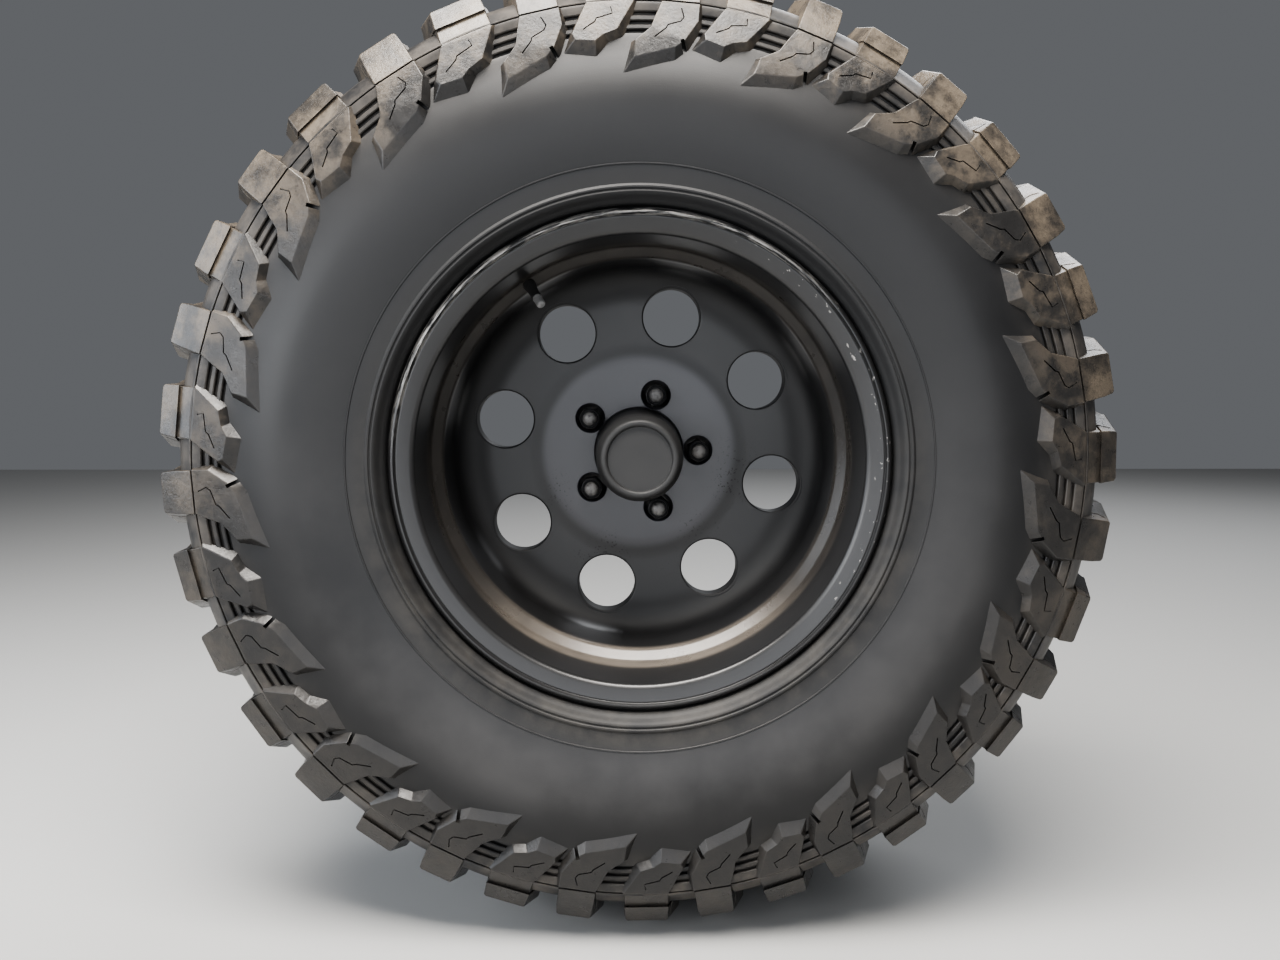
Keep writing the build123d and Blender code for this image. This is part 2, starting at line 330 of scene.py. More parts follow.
stemPiece = spinOnValve("valveStem", valve["stem"], valve["stemSides"])
smooth(stemPiece, angle=40)
capTip = spinOnValve("valveCap", valve["cap"], valve["capSides"])
grip = valve["grip"]
flatTurn = 360.0 / valve["capSides"]
sideways = valveUp.orthogonal()
editMode(capTip, "FACE")
work = bmesh.from_edit_mesh(capTip.data)
work.faces.ensure_lookup_table()
for face in work.faces:  # every other flat of the side is pushed in, as a grip
    height = (face.calc_center_median() - valveFoot).dot(valveUp)
    lean = face.normal.dot(valveUp)
    level = face.normal - valveUp * lean
    turn = degrees(atan2(level.dot(sideways), level.dot(valveUp.cross(sideways))))
    onSide = abs(lean) < grip["lean"] and grip["from"] * mm < height < grip["to"] * mm
    face.select = onSide and int(round((turn % 360.0) / flatTurn - 0.5)) % 2 == 0
bmesh.update_edit_mesh(capTip.data)
bpy.ops.mesh.inset(thickness=grip["inset"] * mm, depth=-grip["depth"] * mm, use_individual=True)
objectMode()
smooth(capTip, angle=30)
print("valve made")

centreCap = {
    "steps": 96,
    "outside": [  # radius, height in front of the hub face
        (42.2, 14.4), (42.25, 29.2), (41.9, 30.6), (41.2, 32.0), (40.9, 36.0), (38.6, 112.0),
        (38.0, 117.0), (36.6, 121.6), (35.0, 125.2), (34.0, 126.9), (32.4, 127.8), (30.6, 127.9),
        (29.2, 127.2), (28.4, 125.8), (28.2, 124.2), (27.4, 124.0), (0, 124.0),
    ],
    "inside": [
        (0, 121.8), (30.0, 121.8), (34.6, 118.0), (35.6, 115.8), (38.6, 36.0), (40.0, 30.0),
        (40.0, 14.4),
    ],
}
capRows = [(radius, -height) for radius, height in centreCap["outside"] + centreCap["inside"]]
capPiece = spinOnAxle("centreCap", capRows, centreCap["steps"])
smooth(capPiece, angle=40)
print("cap made")

lugNut = {
    "flats": 19.05,
    "blank": {"length": 40, "middle": -28},  # the hexagon that the turned form is kept from
    "steps": 48,
    "outline": [  # radius, height in front of the hub face
        (0, 9.97), (8.2, 9.97), (11.0, 14.9), (11.05, 35.4), (10.5, 36.6), (9.7, 37.5),
        (9.0, 37.8), (8.5, 37.5), (8.1, 36.0), (7.1, 35.8), (6.8, 36.2), (6.7, 41.0), (6.3, 42.4),
        (5.4, 43.6), (3.9, 44.4), (2.0, 44.75), (0, 44.8),
    ],
}


def makeNut(name, angle):
    x = nutWells["circle"] * cos(radians(angle))
    z = nutWells["circle"] * sin(radians(angle))
    blank = lugNut["blank"]
    clearSelection()
    bpy.ops.mesh.primitive_cylinder_add(
        vertices=6, radius=lugNut["flats"] / 2 / cos(pi / 6) * mm, depth=blank["length"] * mm,
        location=(x * mm, blank["middle"] * mm, z * mm), rotation=(pi / 2, radians(-angle), 0),
    )
    nut = bpy.context.object
    nut.name = name
    applyPlace()
    rows = [(radius, -height) for radius, height in lugNut["outline"]]
    turned = spinBeside("nutTurning", rows, lugNut["steps"], nutWells["circle"], angle)
    cutAway(nut, turned, how="INTERSECT")
    smooth(nut, angle=30)
    return nut


nuts = []
for number, angle in enumerate(ringAngles(nutWells), start=1):
    nuts.append(makeNut(f"lugNut{number}", angle))
print("nuts made")

# the tyre's casing, spun from the half of its section and the same half turned over
casing = {
    "steps": 228,
    "outside": [  # across from the wheel's middle, radius
        (30, 394.3), (60, 393.0), (86, 388.5), (98, 385.2), (108, 382.6), (109, 384.4),
        (116, 383.0), (116.4, 380.6), (117.6, 380.4), (118.0, 382.4), (124, 380.6),
        (124.4, 378.4), (125.6, 378.1), (126.0, 380.0), (131.0, 377.6), (135.6, 373.6),
        (140.4, 368.4), (143.6, 365.6), (144.4, 364.6), (144.4, 363.9), (142.4, 363.7),
        (142.4, 362.9), (144.5, 362.7), (145.0, 360.6), (145.0, 356.0), (144.4, 355.2),
        (141.2, 354.9), (141.2, 352.4), (144.8, 352.2), (145.5, 351.6), (145.9, 348.9),
        (145.4, 348.1), (141.8, 347.8), (141.8, 345.2), (145.6, 345.0), (146.3, 344.4),
        (146.7, 342.0), (146.2, 341.2), (142.6, 340.9), (142.6, 338.4), (146.4, 338.2),
        (147.4, 335.0), (148.8, 328.5), (150.8, 321.5), (153.2, 312.5), (155.3, 303.0),
        (156.6, 293.5), (156.9, 286.0), (156.7, 278.0), (155.8, 268.0), (154.3, 258.0),
        (152.5, 249.0), (150.9, 241.6), (150.3, 239.2), (150.9, 238.7), (150.8, 237.9),
        (150.1, 237.5), (149.4, 232.0), (148.8, 226.5), (148.5, 223.4), (149.3, 222.4),
        (149.9, 221.3), (149.8, 220.1), (148.9, 219.3), (148.7, 218.7), (149.3, 218.1),
        (149.5, 217.2), (149.1, 216.0), (148.0, 214.9), (146.4, 213.6), (144.2, 212.4),
        (142.6, 211.0), (141.0, 209.4), (138.4, 208.5), (133.2, 208.2), (128.4, 203.6),
        (126.8, 200.6), (126.8, 190.7), (107.0, 190.5),
    ],
    "inside": [
        (122.0, 208.0), (138.0, 238.0), (147.4, 285.0), (141.0, 328.0), (122.0, 362.0),
        (90.0, 377.0), (40.0, 384.0),
    ],
}
halfSection = casing["outside"] + casing["inside"]
casingRows = [(radius, rimCentre - across) for across, radius in halfSection]
casingRows += [(radius, rimCentre + across) for across, radius in halfSection[::-1]]
casingPiece = spinOnAxle("tyreCasing", casingRows, casing["steps"])
smooth(casingPiece, angle=28)
print("casing spun", len(casingPiece.data.polygons))

# lugs: 19 pitches, each with a long and a short one on either side
pitches = {
    "order": "SMLLLSSSMMMLLLLLLMS",
    "share": {"S": 1.0, "M": 1.056, "L": 1.197},
    "first": 14.85,  # degrees from the top to the first pitch
    "place": {"long": 0.425, "short": 0.915},  # where a lug is in its pitch
}
tread = {
    "plateFace": [  # radius, across
        (362.9, 146.8), (331.0, 155.2), (320.0, 156.5), (304.0, 156.9),
    ],
    "plateFoot": [
        (362.9, 143.2), (340.0, 145.2), (332.0, 146.6), (322.0, 149.4), (312.0, 152.2),
        (302.0, 155.2),
    ],
    "blockFace": [
        (396.0, 128.6), (384.0, 136.2), (363.9, 146.6),
    ],
    "crown": 396.0, "parting": 363.9,  # the block's outer and inner radius
    "inner": 88.0, "innerRadius": 405.4, "root": 376.0,  # the block's end towards the middle
    "drift": 12.5, "plateEdge": 0.7, "blockEdge": 0.91,
    "recess": 1.6,  # how far the short lug's lower step is sunk
    "sunkBy": {"arc": 0.01, "face": 0.4, "root": 0.3},  # and how it shrinks for each mm of that
    "sipe": {"width": 1.0, "floor": 146.5},  # the floor is across from the wheel's middle
    "notch": {"width": 3.0, "floor": 147.5},
    "cutFrom": 160,
    "slit": {"radius": 386.0, "past": 2.5, "across": 122.5, "size": (10, 2.6, 15)},
}
lugShapes = {  # outlines are radius, arc clockwise of the lug's middle
    "long": {
        "face": [
            (362.9, -16.3), (351.0, -20.9), (341.0, -24.2), (330.5, -36.6), (317.2, -36.4),
            (326.0, -1.6), (332.0, 6.3), (348.5, 16.4), (362.9, 16.6),
        ],
        "foot": [
            (362.9, -17.2), (350.0, -22.2), (340.0, -26.0), (331.0, -41.0), (304.4, -45.8),
            (315.3, -0.8), (324.8, 10.0), (345.2, 20.4), (362.9, 19.2),
        ],
        "crease": (2, 6),
        "block": [
            (363.9, -16.5), (384.0, -16.3), (394.9, -15.7), (396.0, -14.3), (396.0, 13.4),
            (394.3, 15.4), (384.0, 16.3), (363.9, 16.5),
        ],
        "bend": (1, 6),
        "step": None,
        "sipe": [
            (358.0, 0.6), (350.6, 3.4), (347.0, 1.0), (343.4, -9.8), (340.6, -11.2),
            (333.0, -20.4),
        ],
        "notch": [(332.6, 3.4), (318.0, 9.4)],
    },
    "short": {
        "face": [
            (362.9, -19.8), (339.3, -32.6), (334.6, -30.4), (331.6, -13.6), (336.4, -6.4),
            (340.0, 4.8), (362.9, 20.0),
        ],
        "foot": [
            (362.9, -20.8), (340.2, -35.2), (325.4, -42.0), (318.6, -14.0), (330.6, -2.6),
            (334.4, 9.6), (362.9, 23.6),
        ],
        "crease": (2, 5),
        "block": [
            (363.9, -20.0), (394.9, -19.2), (396.0, -17.8), (396.0, 17.0), (394.3, 19.0),
            (363.9, 20.0),
        ],
        "bend": None,
        "step": 378.6,
        "sipe": [
            (358.4, 0.2), (352.8, 1.4), (349.8, -11.9), (347.2, -13.4), (341.8, -23.2),
        ],
        "notch": None,
    },
}


def polar(radius, arc, across, stretch):
    turned = arc * stretch / radius
    return (radius * sin(turned), rimCentre - across, radius * cos(turned))


def creaseAcross(piece, outline, ends):
    # a crease across a face, between two corners of its outline
    corners = []
    for index in ends:
        target = Vector(outline[index]) * mm
        nearest = min(piece.data.vertices, key=lambda vertex: (vertex.co - target).length)
        corners.append(nearest.index)
    editMode(piece)
    bpy.ops.mesh.select_all(action="DESELECT")
    work = bmesh.from_edit_mesh(piece.data)
    work.verts.ensure_lookup_table()
    for corner in corners:
        work.verts[corner].select = True
    work.select_flush_mode()
    bpy.ops.mesh.vert_connect_path()
    objectMode()


def makeSlab(name, plan, front, back):
    # a closed form between two outlines with as many corners as its plan
    start, depth = -200, 20  # where it is drawn, before its corners go to their places
    slab = drawLine(name, [(x, start, z) for x, z in plan], fill=True)
    editMode(slab)
    bpy.ops.mesh.select_all(action="SELECT")
    bpy.ops.mesh.extrude_region_move(TRANSFORM_OT_translate={"value": (0, depth * mm, 0)})
    objectMode()
    targets = {}
    middle = (start + depth / 2) * mm
    for vertex in slab.data.vertices:
        spot = vertex.co.xz
        nearest = min(range(len(plan)), key=lambda k: (Vector(plan[k]) * mm - spot).length)
        targets[vertex.index] = (front if vertex.co.y < middle else back)[nearest]
    placePoints(slab, targets)
    tidyMesh(slab)
    return slab


def bladeCutter(points, width, near, far, upright=False):
    # a thin zigzag blade that cuts from near to far, along the axle or upright
    left = []
    right = []
    for index, (x, z) in enumerate(points):
        before = Vector(points[max(index - 1, 0)])
        after = Vector(points[min(index + 1, len(points) - 1)])
        way = (after - before).normalized()
        left.append((x - way.y * width / 2, near, z + way.x * width / 2))
        right.append((x + way.y * width / 2, near, z - way.x * width / 2))
    blade = drawLine("blade", left + right[::-1], fill=True)
    editMode(blade)
    bpy.ops.mesh.select_all(action="SELECT")
    move = (0, (far - near) * mm, 0)
    bpy.ops.mesh.extrude_region_move(TRANSFORM_OT_translate={"value": move})
    objectMode()
    tidyMesh(blade)
    if upright:
        blade.rotation_euler = (pi / 2, 0, 0)
        applyPlace()
    return blade


def slitCutter(spot):
    # a thin upright box that notches the block's end wall
    clearSelection()
    bpy.ops.mesh.primitive_cube_add(size=1, location=Vector(spot) * mm)
    box = bpy.context.object
    box.scale = Vector(tread["slit"]["size"]) * mm
    makeActive(box)
    applyPlace()
    return box


def makePlate(lug, name, stretch):
    # the part of a lug that lies on the sidewall
    front = []
    for radius, arc in lug["face"]:
        front.append(polar(radius, arc, inSegments(tread["plateFace"], radius), stretch))
    back = []
    for radius, arc in lug["foot"]:
        back.append(polar(radius, arc, inSegments(tread["plateFoot"], radius), stretch))
    plate = makeSlab(name, [(x, z) for x, y, z in front], front, back)
    creaseAcross(plate, front, lug["crease"])
    softEdges(plate, tread["plateEdge"], angle=20)
    for cut in ("sipe", "notch"):
        if lug[cut]:
            points = [polar(radius, arc, 0, stretch) for radius, arc in lug[cut]]
            blade = bladeCutter(
                [(x, z) for x, y, z in points], tread[cut]["width"],
                rimCentre - tread["cutFrom"], rimCentre - tread[cut]["floor"],
            )
            cutAway(plate, blade)
    return plate


def makeShoulder(lug, outline, sunk, name, stretch):
    # the block over the shoulder, or its sunk form, from an outline of radius and arc
    half = max(arc for radius, arc in lug["block"])
    sunkBy = tread["sunkBy"]
    shrink = 1.0 - sunkBy["arc"] * sunk
    front = []
    back = []
    for radius, arc in outline:
        across = inSegments(tread["blockFace"], radius) - sunk
        front.append(polar(radius - sunkBy["face"] * sunk, arc * shrink, across, stretch))
        share = (radius - tread["parting"]) / (tread["crown"] - tread["parting"])
        backRadius = tread["root"] + (tread["innerRadius"] - tread["root"]) * share
        backRadius -= sunkBy["root"] * sunk
        backArc = arc * shrink - tread["drift"] * (half - arc) / (2 * half)
        back.append(polar(backRadius, backArc, tread["inner"] + sunk, stretch))
    block = makeSlab(name, [(x, z) for x, y, z in front], front, back)
    if lug["bend"]:
        creaseAcross(block, front, lug["bend"])
    softEdges(block, tread["blockEdge"], angle=24)
    if not sunk:
        slit = tread["slit"]
        spot = polar(slit["radius"], -half - slit["past"], slit["across"], stretch)
        cutAway(block, slitCutter(spot))
    return block


def makeLug(lug, name, stretch):
    parts = [makePlate(lug, name, stretch)]
    outlines = [(lug["block"], 0.0)]
    if lug["step"]:
        upper = [(max(radius, lug["step"]), arc) for radius, arc in lug["block"]]
        outlines = [(lug["block"], tread["recess"]), (upper, 0.0)]
    for outline, sunk in outlines:
        parts.append(makeShoulder(lug, outline, sunk, name + "Block", stretch))
    joined = joinPieces(parts, name)
    smooth(joined, angle=30)
    return joined


# centre blocks
centreBlocks = {
    "crown": [(92.0, 404.8), (46.0, 408.6), (0.0, 411.3)],  # across, radius
    "long": {  # arc clockwise of the lug's middle, across from the wheel's middle
        "outline": [
            (-28, 83), (15, 83), (18, 60), (12, 46), (22, 28), (16, 6), (-18, 6), (-29, 22),
            (-20, 42), (-30, 60),
        ],
        "sipe": [(-7, 74), (-3, 54), (6, 42), (2, 10)],
    },
    "short": {
        "outline": [
            (-31, 83), (18, 83), (22, 62), (14, 44), (21, 26), (18, 6), (-16, 6), (-29, 18),
            (-23, 40), (-34, 58),
        ],
        "sipe": [(-2, 75), (-6, 56), (2, 40), (-3, 10)],
    },
    "root": 390.5,
    "draft": 1.05,
    "edge": 1.2,
    "sipeWidth": 1.0,
    "sipeFloor": 402.0,
    "sipeTop": 416.0,
}


def makeCentreBlock(block, name, stretch):
    plan = [(arc * stretch, across) for arc, across in block["outline"]]
    middle = sum(across for arc, across in plan) / len(plan)
    draft = centreBlocks["draft"]
    top = []
    root = []
    for x, across in plan:
        radius = inSegments(centreBlocks["crown"], across)
        top.append((x, rimCentre - across, (radius ** 2 - x * x) ** 0.5))
        rootAcross = middle + (across - middle) * draft
        root.append((x * draft, rimCentre - rootAcross, centreBlocks["root"]))
    solid = makeSlab(name, plan, top, root)
    softEdges(solid, centreBlocks["edge"], angle=24)
    points = [(arc * stretch, across - rimCentre) for arc, across in block["sipe"]]
    floor, over = centreBlocks["sipeFloor"], centreBlocks["sipeTop"]
    cutAway(solid, bladeCutter(points, centreBlocks["sipeWidth"], floor, over, upright=True))
    smooth(solid, angle=30)
    return solid


shareTotal = sum(pitches["share"][letter] for letter in pitches["order"])


def placeRound(maker, shapes, family):
    # a model for each pitch length, copied round the tyre and turned over to the inboard side
    models = {}
    for letter, share in pitches["share"].items():
        stretch = share * len(pitches["order"]) / shareTotal
        for kind in pitches["place"]:
            models[letter, kind] = maker(shapes[kind], f"{kind}{family}{letter}", stretch)
    placed = []
    angle = pitches["first"]
    for number, letter in enumerate(pitches["order"], start=1):
        pitch = 360.0 * pitches["share"][letter] / shareTotal
        for kind, share in pitches["place"].items():
            name = f"{kind}{family}{number}"
            placed.append(copyOf(models[letter, kind], name + "Out", turn=angle + share * pitch))
            placed.append(copyOf(placed[-1], name + "In", flipSide=True))
        angle += pitch
    for model in models.values():
        bpy.data.objects.remove(model)
    return placed


treadPieces = placeRound(makeLug, lugShapes, "Lug")
print("lugs placed", len(treadPieces))
treadPieces += placeRound(makeCentreBlock, centreBlocks, "Block")
print("centre blocks placed")


# materials
# radii, heights and places along the axle are in metres; a noise is (scale, detail, roughness),
# ends are (none from, full from) and a band is (from, to, fade)
def newMaterial(name, color, roughness, metallic=0.0, specular=0.5):
    material = bpy.data.materials.new(name)
    material.use_nodes = True
    shader = material.node_tree.nodes["Principled BSDF"]
    shader.inputs["Base Color"].default_value = (*color, 1)
    shader.inputs["Roughness"].default_value = roughness
    shader.inputs["Metallic"].default_value = metallic
    shader.inputs["Specular IOR Level"].default_value = specular
    return material, shader


def addNode(material, kind, values=None, **settings):
    node = material.node_tree.nodes.new(kind)
    for key, value in settings.items():
        setattr(node, key, value)
    for key, value in (values or {}).items():
        node.inputs[key].default_value = value
    return node


def link(material, start, end):
    material.node_tree.links.new(start, end)


def place(material, scale=(1, 1, 1)):
    texture = addNode(material, "ShaderNodeTexCoord")
    mapping = addNode(material, "ShaderNodeMapping", {"Scale": scale})
    link(material, texture.outputs["Object"], mapping.inputs["Vector"])
    return mapping.outputs["Vector"]


def noise(material, scale, detail=4.0, roughness=0.55, stretch=(1, 1, 1)):
    values = {"Scale": scale, "Detail": detail, "Roughness": roughness}
    node = addNode(material, "ShaderNodeTexNoise", values)
    link(material, place(material, stretch), node.inputs["Vector"])
    return node.outputs["Fac"]


def levels(material, source, low, high):
    # low and high are (place, grey), and what lies outside them keeps their grey
    node = addNode(material, "ShaderNodeValToRGB")
    for element, (position, grey) in zip(node.color_ramp.elements, (low, high)):
        element.position = position
        element.color = (grey, grey, grey, 1)
    link(material, source, node.inputs["Fac"])
    return node.outputs["Color"]


def calculate(material, operation, first, second, clamp=False):
    node = addNode(material, "ShaderNodeMath", operation=operation, use_clamp=clamp)
    for socket, value in zip(node.inputs, (first, second)):
        if isinstance(value, (int, float)):
            socket.default_value = value
        else:
            link(material, value, socket)
    return node.outputs["Value"]


def product(material, *values):
    result = values[0]
    for value in values[1:]:
        result = calculate(material, "MULTIPLY", result, value)
    return result


def total(material, *values):
    result = values[0]
    for value in values[1:]:
        result = calculate(material, "ADD", result, value)
    return result


def mixColor(material, share, first, second):
    node = addNode(material, "ShaderNodeMix", data_type="RGBA")
    sockets = (node.inputs[0], node.inputs[6], node.inputs[7])  # factor and the two colours
    for socket, value in zip(sockets, (share, first, second)):
        if isinstance(value, tuple):
            socket.default_value = (*value, 1)
        else:
            link(material, value, socket)
    return node.outputs[2]


def layered(material, tone, *layers):
    # each (share, colour) goes over what is under it
    for share, color in layers:
        tone = mixColor(material, share, tone, color)
    return tone


def axes(material):
    split = addNode(material, "ShaderNodeSeparateXYZ")
    link(material, place(material), split.inputs["Vector"])
    return split.outputs


def axleRadius(material):
    # distance from the axle in metres
    flat = addNode(material, "ShaderNodeVectorMath", operation="MULTIPLY")
    flat.inputs[1].default_value = (1, 0, 1)
    link(material, place(material), flat.inputs[0])
    length = addNode(material, "ShaderNodeVectorMath", operation="LENGTH")
    link(material, flat.outputs["Vector"], length.inputs[0])
    return length.outputs["Value"]


def clockAngle(material):
    # turn about the axle in radians, 0 at the top, growing clockwise
    parts = axes(material)
    return calculate(material, "ARCTAN2", parts["X"], parts["Z"])


def between(material, source, ends):
    # 0 up to the first end and 1 past the second, smooth in between
    node = addNode(
        material, "ShaderNodeMapRange",
        {"From Min": ends[0], "From Max": ends[1], "To Min": 0.0, "To Max": 1.0},
        interpolation_type="SMOOTHSTEP", clamp=True,
    )
    link(material, source, node.inputs["Value"])
    return node.outputs["Result"]


def within(material, source, band):
    # 1 inside the band, fading at both sides
    low, high, fade = band
    rise = between(material, source, (low - fade, low + fade))
    fall = between(material, source, (high - fade, high + fade))
    return calculate(material, "SUBTRACT", rise, fall, clamp=True)


def streaks(material, acrossScale, roundScale):
    # noise drawn out along the turning
    joint = addNode(material, "ShaderNodeCombineXYZ")
    link(material, product(material, axleRadius(material), acrossScale), joint.inputs["X"])
    link(material, product(material, clockAngle(material), roundScale), joint.inputs["Y"])
    values = {"Scale": 1.0, "Detail": 4.0, "Roughness": 0.6}
    node = addNode(material, "ShaderNodeTexNoise", values)
    link(material, joint.outputs["Vector"], node.inputs["Vector"])
    return node.outputs["Fac"]


def bump(material, shader, height, strength, distance):
    node = addNode(material, "ShaderNodeBump", {"Strength": strength, "Distance": distance})
    link(material, height, node.inputs["Height"])
    link(material, node.outputs["Normal"], shader.inputs["Normal"])


# the sidewall: black rubber with a painted sheen on the lower inner half, dust by the rim that is
# painted lighter below, and dust on the shoulder
sidewall = {
    "specular": 0.35,
    "dark": (0.008, 0.008, 0.0085),
    "light": (0.015, 0.0155, 0.0165),
    "mottle": (7, 5, 0.6),
    "blotches": (38, 5, 0.65),
    # where the painted light from above fades out: lighter below, painted shade above
    "paintedLightHeight": (0.16, -0.26),
    # a lighter grey band on the inner sidewall, lower half only: painted sheen of the overhead
    # light
    "paintedSheen": {
        "color": (0.047, 0.046, 0.046), "radius": (0.236, 0.300, 0.02), "patches": (0.2, 0.7),
        "share": 0.8,
    },
    # dust by the rim, strong below and faint at the top: dust with painted shade on the upper half
    "beadDust": {
        "color": (0.06, 0.055, 0.048), "radius": (0.205, 0.236, 0.008), "patches": (0.3, 0.75),
        "share": 0.5,
    },
    "shoulderDust": {
        "color": (0.098, 0.086, 0.073), "radius": (0.312, 0.37), "patches": (0.3, 0.7),
        "share": 0.6,
    },
    "matt": ((0.25, 0.36), (0.75, 0.46)),  # roughness over the mottle
    "beadDull": {"radius": (0.200, 0.232, 0.006), "share": 0.16},
    "grain": (1100, 3, 0.6),
    "turning": {"across": 900, "round": 4, "share": 0.6},
    "bump": (0.10, 0.0004),
}
rubber, shader = newMaterial(
    "sidewallRubber", (0.03, 0.03, 0.032), 0.5, specular=sidewall["specular"],
)
around = axleRadius(rubber)
mottled = noise(rubber, *sidewall["mottle"])
blotches = noise(rubber, *sidewall["blotches"])
# 0 at the top, 1 at the bottom: painted light on the lower half, painted shade above
low = between(rubber, axes(rubber)["Z"], sidewall["paintedLightHeight"])
tone = mixColor(rubber, mottled, sidewall["dark"], sidewall["light"])
# the painted sheen and the rim's dust, both lighter on the lower half
for dustAndPaintedLight, patches in ((sidewall["paintedSheen"], mottled), (sidewall["beadDust"], blotches)):
    share = product(
        rubber, within(rubber, around, dustAndPaintedLight["radius"]), between(rubber, patches, dustAndPaintedLight["patches"]),
        low, dustAndPaintedLight["share"],
    )
    tone = mixColor(rubber, share, tone, dustAndPaintedLight["color"])
dustAndPaintedLight = sidewall["shoulderDust"]
share = product(
    rubber, between(rubber, around, dustAndPaintedLight["radius"]), between(rubber, blotches, dustAndPaintedLight["patches"]),
    dustAndPaintedLight["share"],
)
link(rubber, mixColor(rubber, share, tone, dustAndPaintedLight["color"]), shader.inputs["Base Color"])
dull = sidewall["beadDull"]
roughness = total(
    rubber, levels(rubber, mottled, *sidewall["matt"]),
    product(rubber, within(rubber, around, dull["radius"]), dull["share"]),
)
link(rubber, roughness, shader.inputs["Roughness"])
turning = sidewall["turning"]
grain = total(
    rubber, noise(rubber, *sidewall["grain"]),
    product(rubber, streaks(rubber, turning["across"], turning["round"]), turning["share"]),
)
bump(rubber, shader, grain, *sidewall["bump"])

# the lugs: worn rubber with dried dust, most of it on the blocks and, as painted light from above,
# on the upper half
lugFinish = {
    "specular": 0.4,
    "dark": (0.009, 0.009, 0.0095),
    "light": (0.027, 0.0255, 0.024),
    "patches": (24, 6, 0.65),
    "smears": (75, 5, 0.7, (1, 0.5, 1)),
    "fine": (260, 5, 0.7),
    # the dust is painted faint at the bottom and full at the top: dust with painted light from
    # above
    "dustAndPaintedLight": {
        "patches": (0.26, 0.66), "smears": (0.05, 0.62), "height": (-0.30, 0.36), "least": 0.1,
    },
    "plateDust": {
        "color": (0.080, 0.066, 0.051), "smears": 0.5, "rubbed": (0.64, 0.86),
        "radius": (0.300, 0.350),
    },
    "blockDust": {"color": (0.106, 0.087, 0.066), "radius": (0.356, 0.372)},
    "scuffs": {"color": (0.016, 0.0155, 0.015), "fine": (0.52, 0.70), "share": 0.45},
    "gloss": ((0.3, 0.24), (0.7, 0.44)),  # roughness over the smears
    "smearHeight": 1.2,
    "bump": (0.35, 0.0008),
}
lugRubber, shader = newMaterial(
    "lugRubber", (0.05, 0.048, 0.045), 0.55, specular=lugFinish["specular"],
)
around = axleRadius(lugRubber)
patches = noise(lugRubber, *lugFinish["patches"])
smears = noise(lugRubber, *lugFinish["smears"])
fine = noise(lugRubber, *lugFinish["fine"])
dustAndPaintedLight = lugFinish["dustAndPaintedLight"]
# 0 at the bottom, 1 at the top: painted light from above on the dust
high = between(lugRubber, axes(lugRubber)["Z"], dustAndPaintedLight["height"])
dustWithPaintedLight = product(
    lugRubber, between(lugRubber, patches, dustAndPaintedLight["patches"]),
    between(lugRubber, smears, dustAndPaintedLight["smears"]),
    total(lugRubber, product(lugRubber, high, 1 - dustAndPaintedLight["least"]), dustAndPaintedLight["least"]),
)
plates, blocks, scuffs = lugFinish["plateDust"], lugFinish["blockDust"], lugFinish["scuffs"]
rubbed = total(lugRubber, patches, product(lugRubber, smears, plates["smears"]))
onPlates = product(
    lugRubber, dustWithPaintedLight, between(lugRubber, rubbed, plates["rubbed"]),
    between(lugRubber, around, plates["radius"]),
)
onBlocks = product(lugRubber, dustWithPaintedLight, between(lugRubber, around, blocks["radius"]))
scuffed = product(lugRubber, between(lugRubber, fine, scuffs["fine"]), scuffs["share"])
tone = layered(
    lugRubber, mixColor(lugRubber, patches, lugFinish["dark"], lugFinish["light"]),
    (onPlates, plates["color"]), (onBlocks, blocks["color"]), (scuffed, scuffs["color"]),
)
link(lugRubber, tone, shader.inputs["Base Color"])
link(lugRubber, levels(lugRubber, smears, *lugFinish["gloss"]), shader.inputs["Roughness"])
grain = total(lugRubber, fine, product(lugRubber, smears, lugFinish["smearHeight"]))
bump(lugRubber, shader, grain, *lugFinish["bump"])

